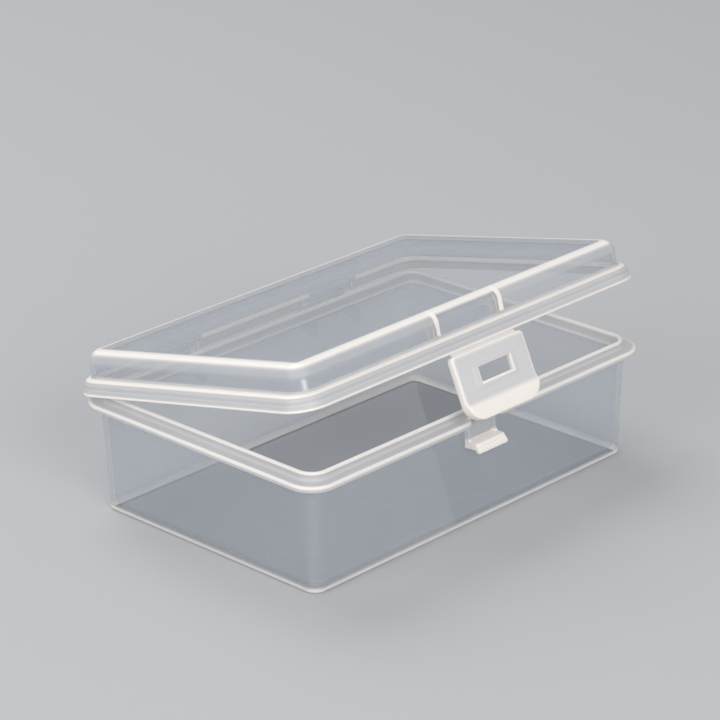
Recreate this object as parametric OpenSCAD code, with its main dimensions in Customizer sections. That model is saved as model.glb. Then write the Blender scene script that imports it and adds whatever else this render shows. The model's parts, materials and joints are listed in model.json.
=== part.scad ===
// Small hinged storage box, moulded in natural, slightly milky polypropylene.
// X runs along the long sides, the latch is on the -Y side, the hinge on the +Y side.
// The origin is the middle of the flat underside, and Z points up.
// The lid is drawn ajar, and the latch flap hangs a little away from the front.

/* [Base] */
// Length of the base at its flat bottom
base_length = 116; // [104:1:130]
// Width of the base at its flat bottom
base_width = 76.7; // [68:0.1:86]
// Height of the base to the top of its lip
base_height = 32.8; // [30:0.1:45]
// How far each wall leans out over its full height
wall_flare = 1.45; // [0.8:0.05:2]
// Thickness of the base walls
wall_t = 1.5; // [1.2:0.1:2]
// Thickness of the base floor
floor_t = 1.4; // [1:0.1:2]
// Corner radius in plan at the bottom
corner_bottom_r = 3.3; // [2.5:0.1:5]
// Corner radius in plan at the top of the walls
corner_top_r = 5.1; // [4:0.1:7]
// Rounding between the walls and the underside
foot_r = 1.1; // [0.5:0.1:2]

/* [Flange] */
// Length over the flange
flange_length = 124.4; // [122.5:0.1:140]
// Width over the flange
flange_width = 85.2; // [84:0.1:96]
// Corner radius of the flange in plan
flange_r = 7.2; // [5:0.1:9]
// Thickness of the flange
flange_t = 1.1; // [0.8:0.1:1.6]
// Thickness of the bead along the edge of the flange
flange_bead_t = 1.5; // [1.2:0.1:2]
// Width of that bead
flange_bead_w = 0.9; // [0.6:0.1:1.4]
// Height of the lip above the flange
lip_h = 2.2; // [1.5:0.1:2.4]
// Step from the wall in to the lip
lip_step = 0.3; // [0.1:0.05:0.6]
// Width of the gap in the front flange, over the catch
notch_width = 11; // [9:0.1:14]

/* [Lid] */
// Length over the lid skirt
lid_length = 124.4; // [122.5:0.1:140]
// Width over the lid skirt
lid_width = 86.2; // [85.8:0.1:97]
// Height of the lid
lid_height = 10.85; // [9.5:0.05:16]
// Thickness of the lid
lid_t = 1.3; // [1:0.1:1.5]
// Corner radius of the skirt in plan
skirt_r = 7.5; // [6.5:0.1:9]
// Height of the upright part of the skirt
skirt_h = 1.75; // [1.2:0.05:2.5]
// Rounding of the shoulder over the skirt
shoulder_r = 2.3; // [1.8:0.1:3]
// Rounding along the top edge of the lid
top_edge_r = 3.2; // [2:0.1:4]
// How far the lid is open as drawn, in degrees
lid_open = 12.5; // [0:0.5:60]
// Distance between the two stiffening ribs behind the front panel
front_rib_pitch = 24.4; // [18:0.2:30]

/* [Hinge] */
// Distance from the middle of the box to the middle of each hinge
hinge_x = 28.9; // [20:0.1:40]
// Width over one hinge bracket
hinge_width = 18.3; // [12:0.1:24]
// Distance of the hinge axis behind the flange
hinge_back = 3.2; // [3:0.1:5]
// Depth of the hinge axis below the top of the flange
hinge_drop = 2.9; // [2.6:0.1:4]
// Radius of the hinge pin
pin_r = 1.2; // [0.9:0.05:1.4]
// Radius of the clip round the pin
clip_r = 2.3; // [2.1:0.05:2.4]
// Radial clearance between pin and clip
pin_gap = 0.06; // [0.02:0.01:0.1]

/* [Latch] */
// Width of the latch flap
latch_width = 26.2; // [22:0.2:34]
// Distance from the bend of the flap to its lower edge
latch_drop = 17.4; // [15:0.1:22]
// Depth of the flap over its rim
latch_depth = 2; // [1.6:0.1:2.2]
// Thickness of the flap
latch_t = 1; // [0.8:0.1:1.3]
// How far the flap stands away from the closed position as drawn, in degrees
latch_out = 11.6; // [0:0.1:30]
// Width of the window in the flap
window_width = 11.5; // [11.2:0.1:14]
// Height of the window in the flap
window_height = 3.9; // [3.8:0.1:5]
// Width of the catch
catch_width = 10.6; // [8:0.1:10.8]
// Reach of the catch from the wall
catch_reach = 4.9; // [4.6:0.1:5.2]

/* [Hidden] */

$fn = 64;
slab_t = 0.01;
arc_steps = 6;
far = 200;

// Heights of the base
flange_top = base_height - lip_h;
flange_low = flange_top - flange_t;
flare_slope = wall_flare / base_height;
front_wall_y = -base_width / 2;

// The lid stands this far over the flange when it is shut
seat_gap = 0.1;
lid_z = flange_top + seat_gap;
shoulder_inset = 0.15 + shoulder_r;
shoulder_h = skirt_h + shoulder_r;
lid_draft = 0.3;
wall_h = lid_height - top_edge_r;
lid_bead_out = 0.3;
lid_bead_h = 0.6;
panel_recess = 0.35;
front_rib_t = 1.3;
front_rib_depth = 2.6;

// Hinge axis, which runs along X
axis_y = flange_width / 2 + hinge_back;
axis_z = flange_top - hinge_drop;
ear_t = 1.8;
ear_r = 2.1;
ear_low = 5;
clip_gap = 0.25;
clip_width = hinge_width - 2 * ear_t - 2 * clip_gap;
clip_mouth = 2;
arm_top = 3.4;
arm_foot_gap = 0.2;

// Bend of the latch, with the lid shut
bend_r = 0.4;
bend_y = -lid_width / 2 - 0.4;
bend_z = lid_z - bend_r - 0.1;
flap_front = 1.4;
flap_back = flap_front - latch_t;
rim_back = flap_front - latch_depth;
rim_t = 1.1;
flap_top = 1.3;
flap_top_r = 1.2;
flap_bottom_r = 5;
window_top = 4.6;
frame_side = 1.9;
frame_over = 0.5;
frame_under = 1.5;
frame_h = 0.35;
grip_top = 11.4;
grip_h = 0.8;

// Catch on the front wall
catch_top = 24.4;
catch_low = 22.1;
catch_under = 22.7;
catch_rib_t = 1;
catch_rib_reach = 0.9;

// ---- shared shapes ----

// A rectangle with round corners, centred
module round_rect(l, w, r) {
  union() {
    square([l - 2 * r, w], center = true);
    square([l, w - 2 * r], center = true);
    for (x = [-1, 1], y = [-1, 1])
      translate([x * (l / 2 - r), y * (w / 2 - r)]) circle(r);
  }
}

// A thin plate in that shape, with its underside at height z
module slab(l, w, r, z) {
  translate([0, 0, z]) linear_extrude(slab_t) round_rect(l, w, r);
}

// A profile drawn in Y and Z, carried along X from x0 over width w
module along_x(x0, w) {
  translate([x0, 0, 0]) rotate([90, 0, 90]) linear_extrude(w) children();
}

// ---- base ----

// The base wall at height z, drawn in by inset on every side
module base_slab(inset, z, at) {
  grow = 2 * (flare_slope * z - inset);
  r = corner_bottom_r + (corner_top_r - corner_bottom_r) * z / base_height;
  slab(base_length + grow, base_width + grow, max(r - inset, 0.6), at);
}

// Solid block with the outer shape of the walls, up to the flange
module base_outside() {
  hull() {
    for (i = [0 : arc_steps]) {
      a = 90 * i / arc_steps;
      base_slab(foot_r * (1 - sin(a)), foot_r, foot_r * (1 - cos(a)));
    }
    base_slab(0, flange_top, flange_top - slab_t);
  }
}

// Hollow of the base, with a rounded edge along the floor
module base_hollow() {
  hull() {
    for (i = [0 : arc_steps]) {
      a = 90 * i / arc_steps;
      base_slab(wall_t + foot_r * (1 - sin(a)), foot_r, floor_t + foot_r * (1 - cos(a)));
    }
    base_slab(wall_t, base_height, base_height);
  }
}

module lip_outside() {
  grow = 2 * (flare_slope * flange_top - lip_step);
  translate([0, 0, flange_low])
    linear_extrude(base_height - flange_low)
      round_rect(base_length + grow, base_width + grow, corner_top_r - lip_step);
}

// Flange round the base, with a thicker edge
module flange() {
  translate([0, 0, flange_low])
    linear_extrude(flange_t) round_rect(flange_length, flange_width, flange_r);
  translate([0, 0, flange_top - flange_bead_t])
    linear_extrude(flange_bead_t)
      difference() {
        round_rect(flange_length, flange_width, flange_r);
        round_rect(flange_length - 2 * flange_bead_w, flange_width - 2 * flange_bead_w,
                   flange_r - flange_bead_w);
      }
}

// Gap in the front flange, with its two outer corners rounded off
module flange_notch() {
  corner = 1.3;
  edge_y = -flange_width / 2;
  translate([0, 0, flange_top - flange_bead_t - 1])
    linear_extrude(flange_bead_t + 2) {
      translate([-notch_width / 2, edge_y - 2]) square([notch_width, 12]);
      for (side = [-1, 1])
        translate([side * notch_width / 2, edge_y])
          difference() {
            translate([side > 0 ? 0 : -corner, -1]) square([corner, corner + 1]);
            translate([side * corner, corner]) circle(corner);
          }
    }
}

module base_tray() {
  color([0.80, 0.84, 0.86])
    difference() {
      union() {
        base_outside();
        lip_outside();
        difference() {
          flange();
          flange_notch();
        }
      }
      base_hollow();
    }
}

// Catch that the latch window drops over, with a stepped nose and two ribs up the wall
module latch_catch() {
  y0 = front_wall_y - flare_slope * catch_top;
  tip = y0 - catch_reach;
  step = 0.45;
  inside = 1.2;
  color([0.93, 0.92, 0.89])
    difference() {
      union() {
        along_x(-catch_width / 2, catch_width)
          polygon([
            [y0 + inside, catch_top], [tip + 3 * step, catch_top],
            [tip + 2 * step, catch_top - 0.3], [tip + 2 * step, catch_top - 0.7],
            [tip + step, catch_top - 0.8], [tip + step, catch_top - 1.2],
            [tip, catch_top - 1.3], [tip, catch_low], [tip + 1, catch_low],
            [tip + 1.3, catch_under], [y0 + inside, catch_under - 0.4]
          ]);
        for (x = [-catch_width / 2, catch_width / 2 - catch_rib_t])
          along_x(x, catch_rib_t)
            polygon([
              [y0 + inside, catch_under - 0.4], [y0 - 1.8, catch_top - 0.2],
              [y0 - catch_rib_reach, catch_top + 0.8], [y0 - catch_rib_reach, flange_low - 1.2],
              [y0 + inside, flange_low - 1.2]
            ]);
      }
      base_outside();
    }
}

// Bracket under the back flange: two ears that hold the ends of the pin
module hinge_bracket(x) {
  wall_y = base_width / 2;
  web_t = 1.2;
  color([0.86, 0.88, 0.89])
    difference() {
      union() {
        for (x0 = [x - hinge_width / 2, x + hinge_width / 2 - ear_t])
          along_x(x0, ear_t) {
            translate([axis_y, axis_z]) circle(ear_r);
            polygon([
              [wall_y, axis_z - ear_low], [axis_y + 0.8, axis_z - ear_r + 0.15],
              [axis_y, axis_z + ear_r], [wall_y, axis_z + ear_r]
            ]);
          }
        along_x(x - hinge_width / 2, hinge_width)
          translate([wall_y, flange_top - flange_bead_t - web_t])
            square([flange_width / 2 - wall_y, web_t]);
      }
      base_outside();
      flange();
      translate([x - clip_width / 2 - clip_gap, axis_y, axis_z]) rotate([0, 90, 0])
        cylinder(r = clip_r + 0.3, h = clip_width + 2 * clip_gap);
    }
}

module hinge_pin(x) {
  length = hinge_width - 2 * ear_t;
  color([0.90, 0.90, 0.88])
    translate([x - length / 2, axis_y, axis_z]) rotate([0, 90, 0])
      cylinder(r = pin_r, h = length);
}

// ---- lid, drawn shut and then turned open ----

module opened() {
  translate([0, axis_y, axis_z]) rotate([-lid_open, 0, 0]) translate([0, -axis_y, -axis_z])
    children();
}

// The skirt outline drawn in by inset, at height z over the foot of the skirt
module lid_slab(inset, z) {
  slab(lid_length - 2 * inset, lid_width - 2 * inset, max(skirt_r - inset, 0.6), lid_z + z);
}

// Block with the outer shape of the skirt and its shoulder, drawn in by t
module skirt_block(t) {
  hull() {
    lid_slab(t, t > 0 ? -1 : 0);
    for (i = [0 : arc_steps]) {
      a = 90 * i / arc_steps;
      r = shoulder_r - t;
      lid_slab(shoulder_inset - r * cos(a), skirt_h + r * sin(a) - slab_t);
    }
  }
}

// Block with the outer shape of the raised top, drawn in by t
module top_block(t) {
  hull() {
    lid_slab(shoulder_inset + t, t > 0 ? skirt_h : skirt_h + 0.5);
    for (i = [0 : arc_steps]) {
      a = 90 * i / arc_steps;
      r = top_edge_r - t;
      lid_slab(shoulder_inset + lid_draft + top_edge_r - r * cos(a), wall_h + r * sin(a) - slab_t);
    }
  }
}

// Bead along the foot of the skirt
module lid_bead() {
  l = lid_length + 2 * lid_bead_out;
  w = lid_width + 2 * lid_bead_out;
  translate([0, 0, lid_z])
    linear_extrude(lid_bead_h)
      difference() {
        round_rect(l, w, skirt_r + lid_bead_out);
        round_rect(l - 2 * lid_t, w - 2 * lid_t, skirt_r + lid_bead_out - lid_t);
      }
}

// Flat panel cut into the front of the lid, over the latch
module front_panel_cut() {
  panel_y = lid_width / 2 - shoulder_inset - panel_recess;
  translate([-front_rib_pitch / 2, -panel_y - 6, lid_z + shoulder_h])
    cube([front_rib_pitch, 6, lid_height]);
}

// Two ribs inside the lid, at the ends of that panel
module front_ribs() {
  rib_y = lid_width / 2 - shoulder_inset - lid_t;
  for (side = [-1, 1])
    translate([side * front_rib_pitch / 2 - front_rib_t / 2, -rib_y - 0.6, lid_z + skirt_h + 1])
      cube([front_rib_t, front_rib_depth + 0.6, lid_height - skirt_h - 2]);
}

module lid_cover() {
  color([0.82, 0.86, 0.88])
    opened() {
      difference() {
        union() {
          skirt_block(0);
          top_block(0);
          lid_bead();
        }
        skirt_block(lid_t);
        top_block(lid_t);
        front_panel_cut();
      }
      intersection() {
        front_ribs();
        top_block(lid_t / 2);
      }
    }
}

// Clip on the back of the lid, which snaps over the pin
module hinge_clip(x) {
  back_y = lid_width / 2;
  foot_z = lid_z + arm_foot_gap;
  color([0.90, 0.90, 0.88])
    opened()
      difference() {
        along_x(x - clip_width / 2, clip_width) {
          translate([axis_y, axis_z]) circle(clip_r);
          polygon([
            [back_y - 0.7, foot_z], [back_y - 0.7, lid_z + arm_top],
            [back_y + 1.3, lid_z + arm_top], [axis_y + clip_r * 0.9, axis_z + clip_r * 0.45],
            [axis_y - clip_r * 0.8, axis_z + clip_r * 0.6]
          ]);
        }
        skirt_block(0);
        lid_bead();
        translate([x - far / 2, axis_y, axis_z]) rotate([0, 90, 0])
          cylinder(r = pin_r + pin_gap, h = far);
        translate([x, axis_y, axis_z]) rotate([-45, 0, 0]) translate([0, 0, -clip_r])
          cube([far, clip_mouth, 2 * clip_r], center = true);
      }
}

// ---- latch, drawn hanging straight and then swung out ----

// Drawn in X and in the distance below the bend, and built outwards from the bend
module hung() {
  opened()
    translate([0, bend_y, bend_z]) rotate([-latch_out, 0, 0]) rotate([90, 0, 0])
      children();
}

module flap_outline(inset) {
  w = latch_width / 2 - inset;
  top = -flap_top - inset;
  low = -latch_drop + inset;
  rt = max(flap_top_r - inset, 0.2);
  rb = flap_bottom_r - inset;
  union() {
    translate([-w + rt, top - rt]) circle(rt);
    translate([w - rt, top - rt]) circle(rt);
    translate([-w + rb, low + rb]) circle(rb);
    translate([w - rb, low + rb]) circle(rb);
    translate([-w + rt, top - 2 * rt]) square([2 * (w - rt), 2 * rt]);
    translate([-w, low + rb]) square([2 * w, top - rt - low - rb]);
    translate([-w + rb, low]) square([2 * (w - rb), 2 * rb]);
  }
}

module window(side, over, under) {
  low = -window_top - window_height;
  translate([-window_width / 2 - side, low - under])
    square([window_width + 2 * side, window_height + over + under]);
}

// Web that joins the flap to the foot of the skirt, round where the plastic bends
module latch_bend() {
  w = latch_width - 2 * flap_top_r;
  color([0.93, 0.92, 0.90])
    hung()
      along_x(-w / 2, w) {
        circle(bend_r);
        polygon([
          [0.1, bend_r - 0.05], [-flap_top, flap_front], [-flap_top, flap_back], [-bend_r * 0.8, -0.2]
        ]);
      }
}

module latch_flap() {
  color([0.90, 0.91, 0.92])
    hung()
      difference() {
        union() {
          translate([0, 0, flap_back]) linear_extrude(latch_t) flap_outline(0);
          translate([0, 0, rim_back]) linear_extrude(latch_depth)
            difference() {
              flap_outline(0);
              flap_outline(rim_t);
            }
          translate([0, 0, flap_back]) linear_extrude(latch_t + frame_h)
            window(frame_side, frame_over, frame_under);
        }
        translate([0, 0, -far / 2]) linear_extrude(far) window(0, 0, 0);
      }
}

module latch_grip() {
  color([0.94, 0.93, 0.91])
    hung()
      translate([0, 0, flap_front]) linear_extrude(grip_h)
        intersection() {
          flap_outline(0.3);
          translate([-latch_width, -latch_drop]) square([2 * latch_width, latch_drop - grip_top]);
        }
}

base_tray();
latch_catch();
hinge_bracket(-hinge_x);  // hinge_bracket_left
hinge_bracket(hinge_x);  // hinge_bracket_right
hinge_pin(-hinge_x);  // hinge_pin_left
hinge_pin(hinge_x);  // hinge_pin_right
lid_cover();
hinge_clip(-hinge_x);  // hinge_clip_left
hinge_clip(hinge_x);  // hinge_clip_right
latch_bend();
latch_flap();
latch_grip();
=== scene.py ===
import json
from math import cos, pi, radians, sin

import bmesh
import bpy
from mathutils import Matrix, Vector


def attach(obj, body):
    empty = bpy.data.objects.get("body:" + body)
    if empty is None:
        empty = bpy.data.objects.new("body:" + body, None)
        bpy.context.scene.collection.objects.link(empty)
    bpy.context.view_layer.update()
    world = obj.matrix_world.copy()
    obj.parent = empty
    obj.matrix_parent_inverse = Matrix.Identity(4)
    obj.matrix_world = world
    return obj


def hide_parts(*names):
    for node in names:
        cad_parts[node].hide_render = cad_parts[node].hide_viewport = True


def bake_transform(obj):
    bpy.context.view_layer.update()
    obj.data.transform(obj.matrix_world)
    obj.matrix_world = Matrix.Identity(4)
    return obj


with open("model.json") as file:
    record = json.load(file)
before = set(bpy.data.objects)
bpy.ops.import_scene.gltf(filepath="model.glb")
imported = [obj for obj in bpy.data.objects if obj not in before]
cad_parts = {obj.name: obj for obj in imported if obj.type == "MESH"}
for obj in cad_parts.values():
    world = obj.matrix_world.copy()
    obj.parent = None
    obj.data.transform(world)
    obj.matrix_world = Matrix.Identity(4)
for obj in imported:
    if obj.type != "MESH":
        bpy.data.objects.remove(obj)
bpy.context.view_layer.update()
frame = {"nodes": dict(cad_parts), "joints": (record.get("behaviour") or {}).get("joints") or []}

# Sizes are in millimetres, as on the drawing of the box, and become metres when a mesh is made.
MM = 0.001
TINY = 1e-4
SMOOTH_UNDER = radians(40)

# Base
BASE_LENGTH, BASE_WIDTH, BASE_HEIGHT = 116.0, 76.7, 32.8
WALL_FLARE, WALL_T, FLOOR_T = 1.45, 1.5, 1.4
CORNER_LOW_R, CORNER_HIGH_R = 3.3, 5.1
FOOT_R = 1.1
FLANGE_OUT, FLANGE_R = 4.2, 7.2
FLANGE_T, FLANGE_BEAD_T, FLANGE_BEAD_W = 1.1, 1.7, 0.9
LIP_H, LIP_STEP = 2.2, 0.3
NOTCH_WIDTH, NOTCH_CORNER = 11.0, 1.3
FLANGE_TOP = BASE_HEIGHT - LIP_H
FLANGE_LOW = FLANGE_TOP - FLANGE_T
SLOPE = WALL_FLARE / BASE_HEIGHT

# Lid, drawn shut
LID_LENGTH, LID_WIDTH, LID_HEIGHT, LID_T = 124.4, 86.2, 10.85, 1.3
SKIRT_R, SKIRT_H, SHOULDER_R, TOP_EDGE_R = 7.5, 1.75, 2.3, 3.2
LID_Z = FLANGE_TOP + 0.1
LID_BEAD_OUT, LID_BEAD_H = 0.3, 0.6
SHOULDER_IN = 0.15 + SHOULDER_R
LID_DRAFT = 0.3
PANEL_RECESS = 0.35
FRONT_RIB_PITCH, FRONT_RIB_T, FRONT_RIB_DEPTH, FRONT_RIB_EDGE = 24.4, 1.3, 2.8, 1.0
# Where a painted highlight line runs down each front corner of the lid
CORNER_HIGHLIGHT_X = 57.3
HINGE_X, HINGE_WIDTH = 28.9, 18.3

# Latch, hanging straight from its bend
LATCH_WIDTH, LATCH_DROP, LATCH_DEPTH, LATCH_T = 26.2, 17.4, 2.0, 1.0
FLAP_TOP, FLAP_FRONT = 0.25, 1.4
FLAP_TOP_R, FLAP_BOTTOM_R, RIM_T = 1.2, 5.0, 1.1
BEND_Y, BEND_Z = -LID_WIDTH / 2 - 0.4, LID_Z - 0.5
WINDOW_WIDTH, WINDOW_HEIGHT, WINDOW_TOP = 11.5, 3.9, 4.6
FRAME_SIDE, FRAME_OVER, FRAME_UNDER, FRAME_H = 1.9, 0.5, 1.5, 0.25
LEDGE, LEDGE_H = 0.6, 0.20
GRIP_TOP, GRIP_H, GRIP_RISE, GRIP_STEPS = 11.4, 0.8, 2.4, 8
WEB_WIDTH, WEB_T, WEB_REACH, WEB_SLANT = 23.0, 0.5, 0.75, 0.77

# Catch: below this height its plastic is thick, and over the fade above it gets thin
CATCH_TOP, CATCH_FADE = 24.7, 1 / 1.5

# Edges of the small CAD parts
SOFT_EDGE, WELD_GAP, SHARP_OVER = 0.2, 0.002, radians(35)

# How thick the plastic looks, from 0 where it is see-through to 1 where it is cream-white; the same scale
# also carries painted highlights on the corners, the ribs and the window ledge
CLEAR, HAZY, PALE_BAND, SOLID = 0.0, 0.35, 0.60, 0.95

# Camera, fitted to the outline of the base in the photograph
CAMERA_AZIMUTH, CAMERA_ELEVATION, CAMERA_ROLL = -45.31, 22.41, -1.17
CAMERA_DISTANCE, CAMERA_RIGHT, CAMERA_UP = 816.8, -2.23, 31.29
CAMERA_LENS, CAMERA_SENSOR = 155.4, 36.0

# Surroundings, with places in metres
FLOOR_SIZE, FLOOR_COLOUR, FLOOR_ROUGHNESS = 3.0, (0.475, 0.485, 0.495), 0.85
ROOM_COLOUR, ROOM_LIGHT = (0.80, 0.81, 0.83), 0.56
LAMPS_AIM = (0, 0, 0.03)

joints = {joint["name"]: joint for joint in frame["joints"]}
HINGE = Vector(joints["lid_hinge"]["pos_m"])
LID_OPEN = radians(-joints["lid_hinge"]["range_deg"][0])
LATCH_OUT = radians(-joints["latch_bend_hinge"]["range_deg"][0])


# ---- materials ----

# Colours of the plastic where it is thin, and cream where it is thick
BLUE_GREY, PALE, WARM = (0.58, 0.62, 0.68), (0.75, 0.76, 0.79), (0.93, 0.91, 0.88)
CREAM = (0.98, 0.92, 0.86)


class Wire:
    """A socket of a material. Sums and products of wires and numbers add Math nodes."""

    def __init__(self, paint, socket):
        self.paint, self.socket = paint, socket

    def __add__(self, other):
        return self.paint.math("ADD", self, other)

    def __sub__(self, other):
        return self.paint.math("SUBTRACT", self, other)

    def __mul__(self, other):
        return self.paint.math("MULTIPLY", self, other)

    def __rsub__(self, other):
        return self.paint.math("SUBTRACT", other, self)

    __radd__, __rmul__ = __add__, __mul__


class Paint:
    """A material being made."""

    def __init__(self, name):
        self.material = bpy.data.materials.new(name)
        self.material.use_nodes = True
        self.tree = self.material.node_tree
        self.surface = self.tree.nodes["Principled BSDF"]

    def node(self, kind, settings=None, out=0, **values):
        """Adds a node, gives it its settings, then its values and links, and returns one output."""
        made = self.tree.nodes.new("ShaderNode" + kind)
        for name, value in (settings or {}).items():
            setattr(made, name, value)
        for name, value in values.items():
            self.plug(made.inputs[name if name in made.inputs else int(name.strip("_"))], value)
        return Wire(self, made.outputs[out])

    def plug(self, socket, value):
        if isinstance(value, Wire):
            self.tree.links.new(value.socket, socket)
        else:
            socket.default_value = value

    def math(self, operation, a, b):
        return self.node("Math", {"operation": operation}, _0=a, _1=b)

    def mix_colours(self, factor, a, b):
        return self.node("Mix", {"data_type": "RGBA"}, out=2, _0=factor, _6=a, _7=b)

    def place(self):
        """Object coordinates."""
        return self.node("TexCoord", out=3)

    def noise(self, scale, detail=2.0):
        return self.node("TexNoise", Vector=self.place(), Scale=scale, Detail=detail)

    def set(self, **values):
        for name, value in values.items():
            self.plug(self.surface.inputs[name.replace("_", " ")], value)

    def front(self):
        return Wire(self, self.surface.outputs[0])

    def show(self, shader):
        self.plug(self.tree.nodes["Material Output"].inputs["Surface"], shader)


def milky_plastic(name, thin, thin_alpha, thick_alpha, roughness, scatter, solid_below=None):
    """Natural polypropylene: see-through where it is thin, cream-white where the plastic is thick.

    Part of the light that falls on it goes on through it, scattered, and less where it is thick.
    How thick it is comes from the mesh, along with a few painted highlights, or else all that is below
    the height solid_below is thick."""
    paint = Paint(name)
    cloud = paint.noise(scale=28.0, detail=3.0) - 0.5
    grain = paint.noise(scale=700.0) - 0.5
    thickness = paint.node("Attribute", {"attribute_name": "thick"}, out=2)
    if solid_below is not None:
        height = paint.node("SeparateXYZ", out=2, Vector=paint.place())
        thickness = (solid_below * MM - height) * (1 / (CATCH_FADE * MM)) + 1
    thickness = paint.node("Clamp", Value=thickness + cloud * 0.06)
    colour = paint.mix_colours(thickness, (*thin, 1), (*CREAM, 1))
    alpha = thickness * (thick_alpha - thin_alpha) + thin_alpha
    bump = paint.node("Bump", Strength=0.04, Distance=0.0001, Height=paint.noise(scale=60.0))
    paint.set(Base_Color=colour, Roughness=cloud * 0.10 + grain * 0.06 + roughness)
    paint.set(Normal=bump, IOR=1.49)
    sent_on = paint.node("BsdfTranslucent", Color=(*thin, 1))
    share = (1 - thickness * 0.85) * scatter
    plastic = paint.node("MixShader", _0=share, _1=paint.front(), _2=sent_on)
    paint.show(paint.node("MixShader", _0=alpha, _1=paint.node("BsdfTransparent"), _2=plastic))
    return paint.material


# ---- shapes ----

def finish_piece(name, bm, body, material, replaces=()):
    """Makes a mesh of bm, which is in millimetres, and lets it ride on its body."""
    bmesh.ops.scale(bm, vec=(MM, MM, MM), verts=bm.verts)
    for edge in bm.edges:
        edge.smooth = edge.is_boundary or edge.calc_face_angle(0) < SMOOTH_UNDER
    for face in bm.faces:
        face.smooth = True
    mesh = bpy.data.meshes.new(name)
    bm.to_mesh(mesh)
    bm.free()
    piece = bpy.data.objects.new(name, mesh)
    bpy.context.scene.collection.objects.link(piece)
    mesh.materials.append(material)
    if body:
        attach(piece, body)
    if replaces:
        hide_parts(*replaces)
    return piece


def cut(bm, along, at):
    """Cuts all faces with a plane that faces along and stands at this distance."""
    bmesh.ops.bisect_plane(bm, geom=bm.verts[:] + bm.edges[:] + bm.faces[:],
                           plane_co=[a * at for a in along], plane_no=along, dist=1e-5)


def faces_of(made):
    return [item for item in made if isinstance(item, bmesh.types.BMFace)]


def raise_faces(bm, faces, height):
    """Lifts faces by this height, and draws sides up to them."""
    raised = faces_of(bmesh.ops.extrude_face_region(bm, geom=faces)["geom"])
    bmesh.ops.delete(bm, geom=faces, context="FACES")
    verts = list({vert for face in raised for vert in face.verts})
    bmesh.ops.translate(bm, vec=(0, 0, height), verts=verts)


def soften(bm, edges, offset, segments):
    """Rounds edges off."""
    bmesh.ops.bevel(bm, geom=edges, offset=offset, segments=segments, profile=0.5, affect="EDGES",
                    material=-1)


class Walls:
    """Walls that run round a rectangle with round corners, drawn ring by ring.

    Each ring is the last one extruded and set in its new place, so all rings have the same corners.
    The cuts are places in X where the front or the back of each ring gets a corner of its own. The
    round corners are drawn with radius 1, and each ring scales them."""

    # The last of these is a painted highlight: a little cream added down the middle of each round corner.
    DRAWN_R, CORNER_STEPS, CORNER_THICK = 1, 14, 0.06

    def __init__(self, length, width, front_cuts=(), back_cuts=()):
        self.length, self.width = length, width
        self.bm = bmesh.new()
        self.thick = self.bm.verts.layers.float.new("thick")
        self.station = self.bm.verts.layers.int.new("station")
        self.begun = False
        self.draw_outline()
        for side, cuts in ((-1, front_cuts), (1, back_cuts)):
            for x in cuts:
                self.split_outline(side, x)
        self.edges = self.first = list(self.bm.edges)
        self.stations = [self.describe(vert, number) for number, vert in enumerate(self.bm.verts)]

    def draw_outline(self):
        bm = self.bm
        corners = bmesh.ops.create_grid(bm, x_segments=1, y_segments=1, size=0.5)["verts"]
        bmesh.ops.scale(bm, vec=(self.length, self.width, 1), verts=corners)
        bmesh.ops.bevel(bm, geom=corners, offset=self.DRAWN_R, offset_type="OFFSET",
                        segments=self.CORNER_STEPS, profile=0.5, affect="VERTICES", material=-1)
        bmesh.ops.delete(bm, geom=list(bm.faces), context="FACES_ONLY")

    def split_outline(self, side, x):
        for edge in self.bm.edges:
            low, high = sorted(edge.verts, key=lambda v: v.co.x)
            on_side = min(side * low.co.y, side * high.co.y) > self.width / 2 - TINY
            if on_side and low.co.x < x < high.co.x:
                bmesh.utils.edge_split(edge, low, (x - low.co.x) / (high.co.x - low.co.x))
                return

    def describe(self, vert, number):
        """Where a corner of the ring is: its place in X if it is a cut, or its way from a centre."""
        vert[self.station] = number
        side = Vector((1 if vert.co.x > 0 else -1, 1 if vert.co.y > 0 else -1))
        half = Vector((self.length / 2 - self.DRAWN_R, self.width / 2 - self.DRAWN_R))
        centre = Vector((side.x * half.x, side.y * half.y))
        is_cut = abs(vert.co.x) < half.x - TINY
        return vert.co.x if is_cut else None, side, vert.co.xy - centre

    def ring(self, out, z, radius, thick, shape=None):
        """Draws the next ring, out from the rectangle at height z, with corners of this radius.

        How thick its plastic looks may be a function of the point. The shape, where there is one,
        moves each point. The round corners get a little more cream, a painted highlight down each corner."""
        verts = list(self.bm.verts)
        if self.begun:
            made = bmesh.ops.extrude_edge_only(self.bm, edges=self.edges)["geom"]
            verts = [g for g in made if isinstance(g, bmesh.types.BMVert)]
            self.edges = [g for g in made if isinstance(g, bmesh.types.BMEdge)
                          and g.verts[0] in verts and g.verts[1] in verts]
        self.begun = True
        half = Vector((self.length / 2 + out, self.width / 2 + out))
        for vert in verts:
            cut_x, side, way = self.stations[vert[self.station]]
            x = side.x * (half.x - radius) + way.x * radius if cut_x is None else cut_x
            y = side.y * (half.y - radius) + way.y * radius if cut_x is None else side.y * half.y
            spot = Vector((x, y, z))
            # The painted corner highlight is strongest halfway round each corner.
            turn = 0 if cut_x is not None else 2 * abs(way.x * way.y)
            plain = thick(spot) if callable(thick) else thick
            vert[self.thick] = plain + (1 - plain) * turn * self.CORNER_THICK
            vert.co = shape(spot) if shape else spot

    def close(self):
        """Closes the first ring and the last."""
        for edges in (self.first, self.edges):
            bmesh.ops.contextual_create(self.bm, geom=edges)
        bmesh.ops.recalc_face_normals(self.bm, faces=self.bm.faces)


def arc(centre, radius, start, end, steps):
    """Points of an arc in offset and height, from start to end in degrees."""
    for i in range(steps + 1):
        a = radians(start + (end - start) * i / steps)
        yield centre[0] + radius * cos(a), centre[1] + radius * sin(a)


def base_radius(z):
    return CORNER_LOW_R + (CORNER_HIGH_R - CORNER_LOW_R) * z / BASE_HEIGHT


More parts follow.
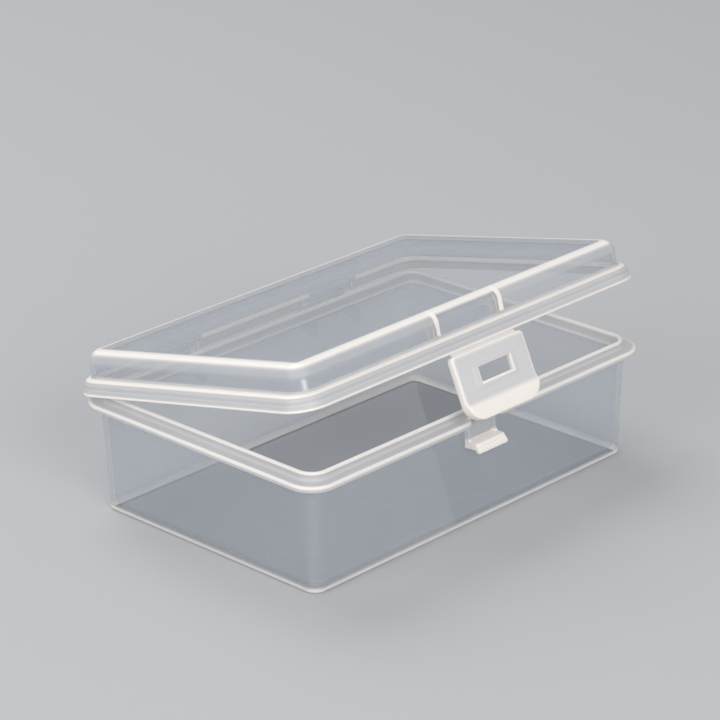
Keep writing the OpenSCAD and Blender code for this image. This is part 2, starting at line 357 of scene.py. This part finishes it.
def notched(point):
    """Draws the flange back to the wall over the catch, with round corners beside the gap."""
    wall_y = -BASE_WIDTH / 2 - SLOPE * FLANGE_TOP
    edge_y = -BASE_WIDTH / 2 - FLANGE_OUT
    past = abs(point.x) - NOTCH_WIDTH / 2
    if point.y > wall_y or point.y > -BASE_WIDTH / 2:
        return point
    if past < 0:
        point.y = max(point.y, wall_y - 0.02)
    elif past < NOTCH_CORNER:
        drop = NOTCH_CORNER - (NOTCH_CORNER ** 2 - (NOTCH_CORNER - past) ** 2) ** 0.5
        point.y = max(point.y, edge_y + drop)
    return point


def behind_catch(plain):
    """Between the ribs of the catch the wall is paler and less clear."""
    return lambda spot: 0.45 if abs(spot.x) < NOTCH_WIDTH / 2 and spot.y < 0 else plain


def tray_shell(material):
    """Floor, walls, flange and lip of the base."""
    corner = [NOTCH_WIDTH / 2 + NOTCH_CORNER * (1 - cos(radians(a))) for a in (0, 20, 40, 60, 90)]
    cuts = [side * x for side in (-1, 1) for x in [NOTCH_WIDTH / 2 - 0.05] + corner]
    walls = Walls(BASE_LENGTH, BASE_WIDTH, front_cuts=cuts)
    # underside and outside
    walls.ring(-FOOT_R - 1.2 + SLOPE * FOOT_R, 0, base_radius(0) - FOOT_R - 1.2, 0.15)
    for out, z in arc((-FOOT_R, FOOT_R), FOOT_R, -90, 0, 6):
        walls.ring(out + SLOPE * FOOT_R, z, base_radius(0) + out, 0.9)
    for z, thick in ((1.5, 0.6), (2.1, 0.10), (3.4, 0.04), (12, CLEAR), (24.0, 0.02)):
        walls.ring(SLOPE * z, z, base_radius(z), thick)
    walls.ring(SLOPE * 24.4, 24.4, base_radius(24.4), behind_catch(0.02))
    walls.ring(SLOPE * 27.5, 27.5, base_radius(27.5), behind_catch(0.10))
    for out, z in arc((SLOPE * FLANGE_LOW + 0.5, FLANGE_LOW - 0.5), 0.5, 180, 90, 3):
        walls.ring(out, z, base_radius(z) + 0.2, HAZY, notched)
    bead_in = FLANGE_OUT - FLANGE_BEAD_W
    bead_low = FLANGE_TOP - FLANGE_BEAD_T
    walls.ring(bead_in - 0.3, FLANGE_LOW, FLANGE_R - 1.2, 0.55, notched)
    walls.ring(bead_in + 0.1, bead_low, FLANGE_R - 0.8, 0.6, notched)
    edge_r = 0.45
    for out, z in arc((FLANGE_OUT - edge_r, bead_low + edge_r), edge_r, -90, 0, 4):
        walls.ring(out, z, FLANGE_R - FLANGE_OUT + out, 0.55, notched)
    walls.ring(FLANGE_OUT, FLANGE_TOP - FLANGE_BEAD_T / 2, FLANGE_R, 0.65, notched)
    for out, z in arc((FLANGE_OUT - edge_r, FLANGE_TOP - edge_r), edge_r, 0, 90, 4):
        walls.ring(out, z, FLANGE_R - FLANGE_OUT + out, SOLID, notched)
    walls.ring(bead_in, FLANGE_TOP, FLANGE_R - 0.9, PALE_BAND, notched)
    lip_out = SLOPE * FLANGE_TOP - LIP_STEP
    walls.ring(lip_out + 0.7, FLANGE_TOP, CORNER_HIGH_R + 0.5, PALE_BAND, notched)
    for out, z in arc((lip_out + 0.35, FLANGE_TOP + 0.35), 0.35, 270, 180, 3):
        walls.ring(out, z, CORNER_HIGH_R + out - lip_out, PALE_BAND)
    # lip
    lip_in = SLOPE * BASE_HEIGHT - WALL_T
    lip_r = 0.42
    walls.ring(lip_out, BASE_HEIGHT - 0.8, CORNER_HIGH_R, 0.45)
    for out, z in arc((lip_out - lip_r, BASE_HEIGHT - lip_r), lip_r, 0, 90, 5):
        walls.ring(out, z, CORNER_HIGH_R - lip_out + out, SOLID)
    for out, z in arc((lip_in + lip_r, BASE_HEIGHT - lip_r), lip_r, 90, 180, 5):
        walls.ring(out, z, CORNER_HIGH_R - lip_out + out, SOLID)
    # inside
    lip_rings = ((31.8, PALE_BAND), (30.4, PALE_BAND), (29.95, 0.85), (29.55, 0.85))
    wall_rings = ((29.2, 0.20), (27.5, 0.05), (12, CLEAR), (3.3, CLEAR), (2.95, 0.15), (2.6, CLEAR))
    for z, thick in lip_rings + wall_rings:
        walls.ring(SLOPE * z - WALL_T, z, base_radius(z) - WALL_T, thick)
    for out, z in arc((-WALL_T - FOOT_R, FLOOR_T + FOOT_R), FOOT_R, 0, -90, 6):
        walls.ring(out + SLOPE * FOOT_R, z, base_radius(0) + out, 0.04)
    walls.ring(-WALL_T - FOOT_R - 1.0, FLOOR_T, 1.0, 0.15)
    walls.close()
    finish_piece("tray_shell", walls.bm, "base", material, ["base_tray"])


def open_lid(bm):
    """Turns what is drawn shut to the angle at which the lid stands."""
    bmesh.ops.rotate(bm, verts=bm.verts, cent=HINGE / MM, matrix=Matrix.Rotation(-LID_OPEN, 3, "X"))


def panelled(point):
    """Sets the front of the lid back over the latch."""
    flat_y = -LID_WIDTH / 2 + SHOULDER_IN + PANEL_RECESS
    if abs(point.x) < FRONT_RIB_PITCH / 2 and point.y < 0:
        point.y = max(point.y, flat_y)
    return point


def beside_hinges(plain, at_hinge):
    """The skirt is plain, but thinner behind each hinge and thick at the hinge's two ends."""
    def thickness(spot):
        past = abs(abs(spot.x) - HINGE_X) - HINGE_WIDTH / 2
        if spot.y < 0 or past > 0.1:
            return plain
        return 0.9 if past > -0.1 else at_hinge
    return thickness


def beside_ribs(plain, at_panel=None, corner_highlight=None):
    """The wall is cream over each rib of the front panel, partly thick plastic at the rib's root and
    partly a painted highlight for the glowing rib, and it has a painted highlight line near each front
    corner.

    Where at_panel is given, the panel between the ribs is as thick as that."""
    def thickness(spot):
        past = abs(spot.x) - FRONT_RIB_PITCH / 2
        # Over each rib the wall is cream: partly the thick plastic at the rib's root, partly a painted
        # highlight for the rib that light from the top edge makes glow.
        if spot.y < 0 and -FRONT_RIB_T - 0.05 < past < 0.05:
            return 1
        if spot.y < 0 and past < 0 and at_panel is not None:
            return at_panel
        # A painted highlight line down each front corner of the lid, fading out within a millimetre
        # either side.
        if spot.y < 0 and corner_highlight is not None:
            return max(plain, corner_highlight - 0.8 * abs(abs(spot.x) - CORNER_HIGHLIGHT_X))
        return plain
    return thickness


def lid_shell(material):
    """Skirt, shoulder, sides and top of the lid, with the flat panel over the latch."""
    front_cuts = [side * (FRONT_RIB_PITCH / 2 + x) for side in (-1, 1)
                  for x in (-FRONT_RIB_T - 0.3, -FRONT_RIB_T, -0.3, 0, 0.3)]
    ends = [HINGE_X - HINGE_WIDTH / 2, HINGE_X + HINGE_WIDTH / 2]
    back_cuts = [side * (end + x) for side in (-1, 1) for end in ends for x in (-0.6, 0, 0.6)]
    walls = Walls(LID_LENGTH, LID_WIDTH, front_cuts, back_cuts)

    def ring(inset, z, thick, shape=None):
        walls.ring(-inset, LID_Z + z, max(SKIRT_R - inset, 0.8), thick, shape)

    wall_h = LID_HEIGHT - TOP_EDGE_R
    edge_in = SHOULDER_IN + LID_DRAFT + TOP_EDGE_R
    shoulder, skirt = beside_hinges(SOLID, 0.2), beside_hinges(0.55, 0.15)
    # inside, from the middle of the top down to the foot of the skirt
    ring(edge_in + 1.5, LID_HEIGHT - LID_T, CLEAR)
    for a, z in arc((-edge_in, wall_h), TOP_EDGE_R - LID_T, 90, 0, 6):
        ring(-a, z, beside_ribs(0.25))
    ring(SHOULDER_IN + LID_T + 0.1, wall_h - 1.0, beside_ribs(0.03))
    ring(SHOULDER_IN + LID_T, SKIRT_H + 2.7, beside_ribs(0.10))
    ring(SHOULDER_IN + LID_T, SKIRT_H + 2.3, shoulder)
    for a, z in arc((-SHOULDER_IN - LID_T + 0.4, SKIRT_H + 1.4), 0.4, 180, 270, 3):
        ring(-a, z, shoulder)
    for a, z in arc((-SHOULDER_IN, SKIRT_H), SHOULDER_R - LID_T, 90, 0, 5):
        ring(-a, z, shoulder if z > SKIRT_H + 0.9 else skirt)
    ring(LID_T + 0.05, 0.25, skirt)
    ring(LID_T - 0.2, 0.0, 0.8)
    # outside, from the bead up to the top
    bead_r = 0.28
    for a, z in arc((LID_BEAD_OUT - bead_r, bead_r), bead_r, -90, 60, 5):
        ring(-a, z, SOLID)
    ring(-0.02, LID_BEAD_H + 0.15, 0.6)
    ring(0.08, SKIRT_H - 0.4, skirt)
    # faint streaks along the skirt, then the thick shoulder
    skirt_streaks = [beside_hinges(thick, 0.15) for thick in (0.66, 0.46, 0.48, 0.58, 0.50)]
    shoulder_rings = arc((-SHOULDER_IN, SKIRT_H), SHOULDER_R, 0, 84, 8)
    for (a, z), thick in zip(shoulder_rings, skirt_streaks + 4 * [shoulder]):
        ring(-a, z, thick)
    for a, z in arc((-SHOULDER_IN + 0.30, SKIRT_H + SHOULDER_R + 0.35), 0.35, 270, 180, 3):
        ring(-a, z, beside_hinges(0.7 if a > -SHOULDER_IN + 0.1 else HAZY, 0.2))
    # The upper wall carries the painted highlight line at each front corner.
    wall = beside_ribs(0.06, corner_highlight=0.8)
    ring(SHOULDER_IN + 0.06, SKIRT_H + SHOULDER_R + 0.9, wall, panelled)
    ring(SHOULDER_IN + 0.15, wall_h - 0.8, wall, panelled)
    edge_thickness = (0.25, 0.38, 0.42, 0.42, 0.46, 0.70, SOLID, SOLID, SOLID, SOLID, 0.9)
    for (a, z), thick in zip(arc((-edge_in, wall_h), TOP_EDGE_R, 0, 90, 10), edge_thickness):
        ring(-a, z, beside_ribs(thick, at_panel=thick if thick > 0.6 else 0.08), panelled)
    ring(edge_in + 0.5, LID_HEIGHT, 0.6)
    ring(edge_in + 1.1, LID_HEIGHT, 0.03)
    ring(edge_in + 4.0, LID_HEIGHT, CLEAR)
    walls.close()
    open_lid(walls.bm)
    finish_piece("lid_shell", walls.bm, "lid", material, ["lid_cover"])


def lid_ribs(material):
    """Two upright ribs inside the lid, at the ends of the front panel."""
    bm = bmesh.new()
    thick = bm.verts.layers.float.new("thick")
    # sunk a little into the front wall and the top
    front = -LID_WIDTH / 2 + SHOULDER_IN + LID_T - 0.15
    low, high = LID_Z + SKIRT_H + 1.2, LID_Z + LID_HEIGHT - LID_T + 0.05
    for side in (-1, 1):
        rib = bmesh.ops.create_cube(bm, size=1)["verts"]
        bmesh.ops.scale(bm, vec=(FRONT_RIB_T, FRONT_RIB_DEPTH, high - low), verts=rib)
        spot = (side * (FRONT_RIB_PITCH - FRONT_RIB_T) / 2, front + FRONT_RIB_DEPTH / 2, (low + high) / 2)
        bmesh.ops.translate(bm, vec=spot, verts=rib)
    soften(bm, bm.edges[:], 0.18, 2)
    deep = front + FRONT_RIB_DEPTH
    for depth in (FRONT_RIB_EDGE, FRONT_RIB_EDGE + 0.3):
        cut(bm, (0, 1, 0), deep - depth)
    for vert in bm.verts:
        vert[thick] = SOLID if vert.co.y > deep - FRONT_RIB_EDGE - 0.1 else 0.5
    open_lid(bm)
    finish_piece("lid_ribs", bm, "lid", material)


def hang(bm):
    """Puts what is drawn flat, in X, height over the bend in Y and reach outwards in Z, in its place."""
    bmesh.ops.rotate(bm, verts=bm.verts, cent=(0, 0, 0), matrix=Matrix.Rotation(pi / 2, 3, "X"))
    bmesh.ops.rotate(bm, verts=bm.verts, cent=(0, 0, 0), matrix=Matrix.Rotation(-LATCH_OUT, 3, "X"))
    bmesh.ops.translate(bm, verts=bm.verts, vec=(0, BEND_Y, BEND_Z))
    open_lid(bm)


def living_hinge(material):
    """The thin web on which the flap bends, from the bead of the lid to the top of the flap."""
    bm = bmesh.new()
    thick = bm.verts.layers.float.new("thick")
    web = bmesh.ops.create_cube(bm, size=1)["verts"]
    bmesh.ops.scale(bm, vec=(WEB_WIDTH, 2 * WEB_REACH, WEB_T), verts=web)
    bmesh.ops.translate(bm, vec=(0, -WEB_REACH / 5, 0), verts=web)
    for step in range(-3, 4):
        cut(bm, (0, 1, 0), step * WEB_REACH / 4)
    for vert in bm.verts:
        vert.co.z -= WEB_SLANT * vert.co.y
        vert[thick] = PALE_BAND
    hang(bm)
    piece = finish_piece("living_hinge", bm, None, material, ["latch_bend"])
    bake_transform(piece)


def draw_flap_plate(bm):
    """The plate of the flap with a rim behind, round at its corners and edges."""
    tall = LATCH_DROP - FLAP_TOP
    middle = -FLAP_TOP - tall / 2
    corners = bmesh.ops.create_grid(bm, x_segments=1, y_segments=1, size=0.5)["verts"]
    bmesh.ops.scale(bm, vec=(LATCH_WIDTH, tall, 1), verts=corners)
    bmesh.ops.translate(bm, vec=(0, middle, FLAP_FRONT), verts=corners)
    for side, radius in ((1, FLAP_TOP_R), (-1, FLAP_BOTTOM_R)):
        ends = [v for v in bm.verts if abs(v.co.y - middle - side * tall / 2) < TINY]
        bmesh.ops.bevel(bm, geom=ends, offset=radius, offset_type="OFFSET", segments=10,
                        profile=0.5, affect="VERTICES", material=-1)
    front = bm.faces[:]
    back = faces_of(bmesh.ops.extrude_face_region(bm, geom=front)["geom"])
    bmesh.ops.translate(bm, vec=(0, 0, -LATCH_DEPTH), verts=back[0].verts)
    bmesh.ops.inset_region(bm, faces=front, thickness=RIM_T, depth=0)
    bmesh.ops.inset_region(bm, faces=back, thickness=RIM_T, depth=0)
    raise_faces(bm, back, LATCH_DEPTH - LATCH_T)
    bmesh.ops.recalc_face_normals(bm, faces=bm.faces)
    for level, offset, segments in ((FLAP_FRONT, 0.45, 4), (FLAP_FRONT - LATCH_DEPTH, 0.25, 2)):
        sharp = [e for e in bm.edges if all(abs(v.co.z - level) < TINY for v in e.verts)
                 and e.calc_face_angle(0) > 1]
        soften(bm, sharp, offset, segments)


def cut_window(bm):
    """Raises the frame of the window and opens the window through the plate."""
    low = -WINDOW_TOP - WINDOW_HEIGHT
    for x in (WINDOW_WIDTH / 2, WINDOW_WIDTH / 2 + LEDGE, WINDOW_WIDTH / 2 + FRAME_SIDE):
        cut(bm, (1, 0, 0), x)
        cut(bm, (-1, 0, 0), x)
    for y in (-WINDOW_TOP + FRAME_OVER, -WINDOW_TOP, low, low - LEDGE, low - FRAME_UNDER):
        cut(bm, (0, 1, 0), y)

    def within(face, side, over, under):
        middle = face.calc_center_median()
        return (abs(face.normal.z) > 0.9 and abs(middle.x) < WINDOW_WIDTH / 2 + side
                and low - under < middle.y < -WINDOW_TOP + over)

    flat = [f for f in bm.faces if f.normal.z > 0.9
            and within(f, FRAME_SIDE, FRAME_OVER, FRAME_UNDER)]
    raise_faces(bm, flat, FRAME_H)
    flat = [f for f in bm.faces if f.normal.z > 0.9 and within(f, LEDGE, 0, LEDGE)
            and f.calc_center_median().x > -WINDOW_WIDTH / 2]
    raise_faces(bm, flat, LEDGE_H)
    gone = [f for f in bm.faces if within(f, 0, 0, 0)]
    rims = {e for f in gone for e in f.edges if not all(g in gone for g in e.link_faces)}
    bmesh.ops.delete(bm, geom=gone, context="FACES")
    bmesh.ops.bridge_loops(bm, edges=list(rims))
    sharp = [e for e in bm.edges if all(v.co.z > FLAP_FRONT + 0.1 for v in e.verts)
             and e.calc_face_angle(0) > 1 and e.verts[0].co.z == e.verts[1].co.z]
    soften(bm, sharp, 0.1, 2)


def flap_edge(spot):
    """How far a point of the flap lies inside its outline."""
    radius = FLAP_BOTTOM_R if spot.y < -LATCH_DROP / 2 else FLAP_TOP_R
    low, high = -LATCH_DROP + radius, -FLAP_TOP - radius
    past = Vector((max(abs(spot.x) - LATCH_WIDTH / 2 + radius, 0),
                   max(low - spot.y, spot.y - high, 0)))
    return radius - past.length


def flap_shell(material):
    """The latch flap: a plate with a rim behind, a framed window and a raised grip below."""
    bm = bmesh.new()
    thick = bm.verts.layers.float.new("thick")
    draw_flap_plate(bm)
    cut_window(bm)
    for step in range(GRIP_STEPS + 1):
        cut(bm, (0, 1, 0), -GRIP_TOP - GRIP_RISE * step / GRIP_STEPS)
    for vert in bm.verts:
        rise = min(max((-vert.co.y - GRIP_TOP) / GRIP_RISE, 0), 1)
        rise = rise * rise * (3 - 2 * rise)
        inside = min(flap_edge(vert.co), 1) if vert.co.z > FLAP_FRONT - LATCH_T - 0.3 else 0
        # Faces above the frame, the top of the ledge right of and below the window, are cream: partly
        # thick plastic, partly a painted highlight along that side of the frame.
        plain = SOLID if vert.co.z > FLAP_FRONT + FRAME_H + 0.05 else HAZY
        vert[thick] = max(SOLID - (SOLID - HAZY) * inside, plain, rise)
        if vert.co.z > FLAP_FRONT - 0.5:
            vert.co.z += GRIP_H * rise
    bmesh.ops.recalc_face_normals(bm, faces=bm.faces)
    hang(bm)
    finish_piece("flap_shell", bm, "latch", material, ["latch_flap", "latch_grip"])


def round_cad_part(node, material):
    """Softens the edges of a small CAD part, as moulding leaves them."""
    part = frame["nodes"][node]
    part.data.materials.clear()
    part.data.materials.append(material)
    weld = part.modifiers.new("weld", "WELD")
    weld.merge_threshold = WELD_GAP * MM
    bevel = part.modifiers.new("soft edges", "BEVEL")
    bevel.width, bevel.segments = SOFT_EDGE * MM, 3
    bevel.limit_method, bevel.angle_limit = "ANGLE", SHARP_OVER
    bevel.harden_normals = True


# ---- surroundings ----

def floor_paint():
    """Pale matt paint with a faint cloud."""
    paint = Paint("floor_paint")
    lighter = tuple(part * 1.01 for part in FLOOR_COLOUR)
    cloud = paint.noise(scale=14.0)
    paint.set(Base_Color=paint.mix_colours(cloud, (*FLOOR_COLOUR, 1), (*lighter, 1)))
    paint.set(Roughness=FLOOR_ROUGHNESS)
    return paint.material


def floor():
    bm = bmesh.new()
    bmesh.ops.create_grid(bm, x_segments=1, y_segments=1, size=FLOOR_SIZE)
    mesh = bpy.data.meshes.new("floor")
    bm.to_mesh(mesh)
    bm.free()
    mesh.materials.append(floor_paint())
    made = bpy.data.objects.new("floor", mesh)
    bpy.context.scene.collection.objects.link(made)


def lamp(name, at, size, power):
    """Hangs a round lamp that shines at the box."""
    light = bpy.data.lights.new(name, "AREA")
    light.shape, light.size, light.energy = "DISK", size, power
    made = bpy.data.objects.new(name, light)
    made.location = at
    made.rotation_mode = "QUATERNION"
    made.rotation_quaternion = (Vector(at) - Vector(LAMPS_AIM)).to_track_quat("Z", "Y")
    bpy.context.scene.collection.objects.link(made)


def studio():
    lamp("back_light", at=(0.1, 0.65, 1.0), size=0.9, power=5.4)
    lamp("left_light", at=(-1.0, 0.05, 0.55), size=0.8, power=4.6)
    lamp("front_light", at=(-0.40, -1.15, 0.60), size=0.8, power=8.7)
    world = bpy.data.worlds.new("room")
    world.use_nodes = True
    background = world.node_tree.nodes["Background"]
    background.inputs["Color"].default_value = (*ROOM_COLOUR, 1)
    background.inputs["Strength"].default_value = ROOM_LIGHT
    bpy.context.scene.world = world


def camera():
    """Stands the camera where the photograph was taken from."""
    a, e, roll = (radians(d) for d in (CAMERA_AZIMUTH, CAMERA_ELEVATION, CAMERA_ROLL))
    back = Vector((sin(a) * cos(e), -cos(a) * cos(e), sin(e)))
    right = Vector((cos(a), sin(a), 0))
    up = back.cross(right)
    right, up = right * cos(roll) + up * sin(roll), up * cos(roll) - right * sin(roll)
    lens = bpy.data.cameras.new("camera")
    lens.lens, lens.sensor_width = CAMERA_LENS, CAMERA_SENSOR
    lens.clip_start, lens.clip_end = 0.01, 50
    made = bpy.data.objects.new("camera", lens)
    spot = (back * CAMERA_DISTANCE + right * CAMERA_RIGHT + up * CAMERA_UP) * MM
    turn = Matrix((right, up, back)).transposed().to_4x4()
    made.matrix_world = Matrix.Translation(spot) @ turn
    bpy.context.scene.collection.objects.link(made)
    bpy.context.scene.camera = made


# Each has its thin colour, its alpha where thin and where thick, its roughness, and the share of
# light that it scatters onwards. The catch is thick up to a height instead.
tray_plastic = milky_plastic("tray_polypropylene", BLUE_GREY, 0.21, 0.95, 0.42, 0.5)
lid_plastic = milky_plastic("lid_polypropylene", BLUE_GREY, 0.20, 0.95, 0.38, 0.5)
rib_plastic = milky_plastic("rib_polypropylene", WARM, 0.7, 0.97, 0.34, 0.6)
latch_plastic = milky_plastic("latch_polypropylene", PALE, 0.78, 0.97, 0.34, 0.25)
catch_plastic = milky_plastic("catch_polypropylene", PALE, 0.26, 0.97, 0.34, 0.15, CATCH_TOP)
hinge_plastic = milky_plastic("hinge_polypropylene", PALE, 0.34, 0.95, 0.34, 0.7)
bracket_plastic = milky_plastic("bracket_polypropylene", PALE, 0.14, 0.95, 0.34, 0.7)

tray_shell(tray_plastic)
lid_shell(lid_plastic)
lid_ribs(rib_plastic)
flap_shell(latch_plastic)
living_hinge(latch_plastic)
for side in ("left", "right"):
    round_cad_part(f"hinge_bracket_{side}", bracket_plastic)
    round_cad_part(f"hinge_pin_{side}", hinge_plastic)
    round_cad_part(f"hinge_clip_{side}", hinge_plastic)
round_cad_part("latch_catch", catch_plastic)

floor()
studio()
camera()
scene = bpy.context.scene
scene.view_settings.view_transform = "Standard"
# a line of sight passes many thin walls
scene.cycles.transparent_max_bounces = 32
